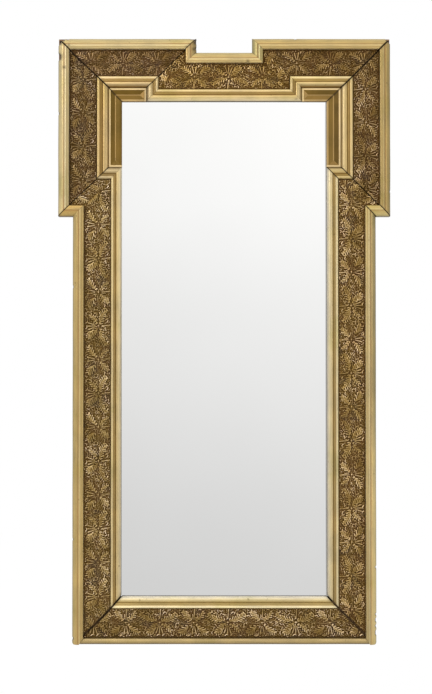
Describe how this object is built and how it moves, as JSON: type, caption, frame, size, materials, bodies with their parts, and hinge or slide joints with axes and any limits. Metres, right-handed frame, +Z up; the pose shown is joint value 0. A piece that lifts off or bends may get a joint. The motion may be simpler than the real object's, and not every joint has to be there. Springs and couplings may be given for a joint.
{
  "type": "pier mirror",
  "caption": "Tall wall mirror in a gilt frame with outset upper corners, a step down in the top, a foliage frieze between plain mouldings, and ring hangers on its back.",
  "frame": {"origin": "on the wall plane, behind the middle of the mirror, on the back face of the middle backboard", "axes": "+X to the right as one looks at the glass, +Y back into the wall, +Z up; the face looks along -Y"},
  "size_m": [0.94, 0.0646, 1.71],
  "materials": {
    "gilt": "old water gilding on gesso, rubbed to the red bole on its edges",
    "frieze": "pressed foliage, bronzed dark in the ground and rubbed gold on the leaves",
    "plate": "silvered glass, polished",
    "pine": "bare old softwood, dusty",
    "brass": "dull tarnished brass",
    "iron": "dark blued steel screws"
  },
  "bodies": {
    "frame": {"backboard_1": "pine", "backboard_2": "pine", "backboard_3": "pine", "backboard_4": "pine", "backboard_5": "pine", "base_strip": "gilt", "carcass_base_rail": "pine", "carcass_left_stile": "pine", "carcass_right_stile": "pine", "carcass_top_rail": "pine", "ear_block_left": "pine", "ear_block_right": "pine", "frieze_base": "frieze", "frieze_left_ear": "frieze", "frieze_left_stile": "frieze", "frieze_right_ear": "frieze", "frieze_right_stile": "frieze", "frieze_top_centre": "frieze", "frieze_top_left": "frieze", "frieze_top_right": "frieze", "glazing_fillet_base": "pine", "glazing_fillet_left": "pine", "glazing_fillet_right": "pine", "glazing_fillet_top": "pine", "hanger_screw_left_lower": "iron", "hanger_screw_left_upper": "iron", "hanger_screw_right_lower": "iron", "hanger_screw_right_upper": "iron", "hanger_strap_left": "brass", "hanger_strap_right": "brass", "inner_moulding_base": "gilt", "inner_moulding_left_ear": "gilt", "inner_moulding_left_return": "gilt", "inner_moulding_left_stile": "gilt", "inner_moulding_notch_left": "gilt", "inner_moulding_notch_right": "gilt", "inner_moulding_right_ear": "gilt", "inner_moulding_right_return": "gilt", "inner_moulding_right_stile": "gilt", "inner_moulding_top_centre": "gilt", "inner_moulding_top_left": "gilt", "inner_moulding_top_right": "gilt", "mirror_plate": "plate", "outer_moulding_left_ear": "gilt", "outer_moulding_left_return": "gilt", "outer_moulding_left_stile": "gilt", "outer_moulding_notch_left": "gilt", "outer_moulding_notch_right": "gilt", "outer_moulding_right_ear": "gilt", "outer_moulding_right_return": "gilt", "outer_moulding_right_stile": "gilt", "outer_moulding_top_centre": "gilt", "outer_moulding_top_left": "gilt", "outer_moulding_top_right": "gilt", "panel_left_level": "gilt", "panel_left_upright": "gilt", "panel_right_level": "gilt", "panel_right_upright": "gilt"},
    "ring_left": {"hanger_ring_left": "brass"},
    "ring_right": {"hanger_ring_right": "brass"}
  },
  "joints": [
    {"name": "left_ring_swing", "type": "hinge", "parent": "frame", "child": "ring_left", "pos_m": [-0.37575, -0.0076, 0.435], "axis": [1, 0, 0], "range_deg": [0, 180]},
    {"name": "right_ring_swing", "type": "hinge", "parent": "frame", "child": "ring_right", "pos_m": [0.37575, -0.0076, 0.435], "axis": [1, 0, 0], "range_deg": [0, 180]}
  ]
}
